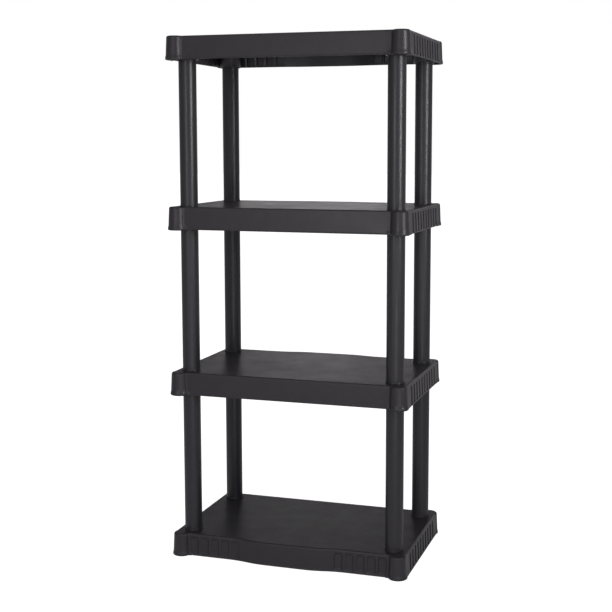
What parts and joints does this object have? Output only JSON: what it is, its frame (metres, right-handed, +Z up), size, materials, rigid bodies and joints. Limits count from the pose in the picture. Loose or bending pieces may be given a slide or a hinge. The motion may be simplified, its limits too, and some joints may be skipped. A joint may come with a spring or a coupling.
{
  "type": "shelving unit",
  "caption": "Free-standing knock-down shelving unit: moulded plastic shelves with fluted ends and rounded corner columns, carried on round push-fit posts.",
  "frame": {"origin": "on the floor, at the centre of the footprint", "axes": "+Z up; +X along the shelves, to the right seen from the front; +Y from front to back"},
  "size_m": [0.562, 0.358, 1.19],
  "materials": {
    "shelf_plastic": "satin moulded polypropylene with a fine texture, charcoal black",
    "post_plastic": "satin extruded tube, charcoal black",
    "cap_plastic": "satin moulded cap, charcoal black"
  },
  "bodies": {
    "bottom_shelf": {"bottom_shelf": "shelf_plastic"},
    "lower_middle_shelf": {"lower_middle_shelf": "shelf_plastic"},
    "upper_middle_shelf": {"upper_middle_shelf": "shelf_plastic"},
    "top_shelf": {"top_shelf": "shelf_plastic"},
    "lower_posts": {"lower_post_front_left": "post_plastic", "lower_post_front_right": "post_plastic", "lower_post_back_left": "post_plastic", "lower_post_back_right": "post_plastic"},
    "middle_posts": {"middle_post_front_left": "post_plastic", "middle_post_front_right": "post_plastic", "middle_post_back_left": "post_plastic", "middle_post_back_right": "post_plastic"},
    "upper_posts": {"upper_post_front_left": "post_plastic", "upper_post_front_right": "post_plastic", "upper_post_back_left": "post_plastic", "upper_post_back_right": "post_plastic"},
    "cap_front_left": {"cap_front_left": "cap_plastic"},
    "cap_front_right": {"cap_front_right": "cap_plastic"},
    "cap_back_left": {"cap_back_left": "cap_plastic"},
    "cap_back_right": {"cap_back_right": "cap_plastic"}
  },
  "joints": [
    {"name": "lower_posts_lift", "type": "slide", "parent": "bottom_shelf", "child": "lower_posts", "axis": [0, 0, 1], "range_m": [0, 0.04]},
    {"name": "lower_middle_shelf_lift", "type": "slide", "parent": "lower_posts", "child": "lower_middle_shelf", "axis": [0, 0, 1], "range_m": [0, 0.04]},
    {"name": "middle_posts_lift", "type": "slide", "parent": "lower_middle_shelf", "child": "middle_posts", "axis": [0, 0, 1], "range_m": [0, 0.04]},
    {"name": "upper_middle_shelf_lift", "type": "slide", "parent": "middle_posts", "child": "upper_middle_shelf", "axis": [0, 0, 1], "range_m": [0, 0.04]},
    {"name": "upper_posts_lift", "type": "slide", "parent": "upper_middle_shelf", "child": "upper_posts", "axis": [0, 0, 1], "range_m": [0, 0.04]},
    {"name": "top_shelf_lift", "type": "slide", "parent": "upper_posts", "child": "top_shelf", "axis": [0, 0, 1], "range_m": [0, 0.04]},
    {"name": "cap_front_left_lift", "type": "slide", "parent": "top_shelf", "child": "cap_front_left", "axis": [0, 0, 1], "range_m": [0, 0.025]},
    {"name": "cap_front_right_lift", "type": "slide", "parent": "top_shelf", "child": "cap_front_right", "axis": [0, 0, 1], "range_m": [0, 0.025]},
    {"name": "cap_back_left_lift", "type": "slide", "parent": "top_shelf", "child": "cap_back_left", "axis": [0, 0, 1], "range_m": [0, 0.025]},
    {"name": "cap_back_right_lift", "type": "slide", "parent": "top_shelf", "child": "cap_back_right", "axis": [0, 0, 1], "range_m": [0, 0.025]}
  ]
}
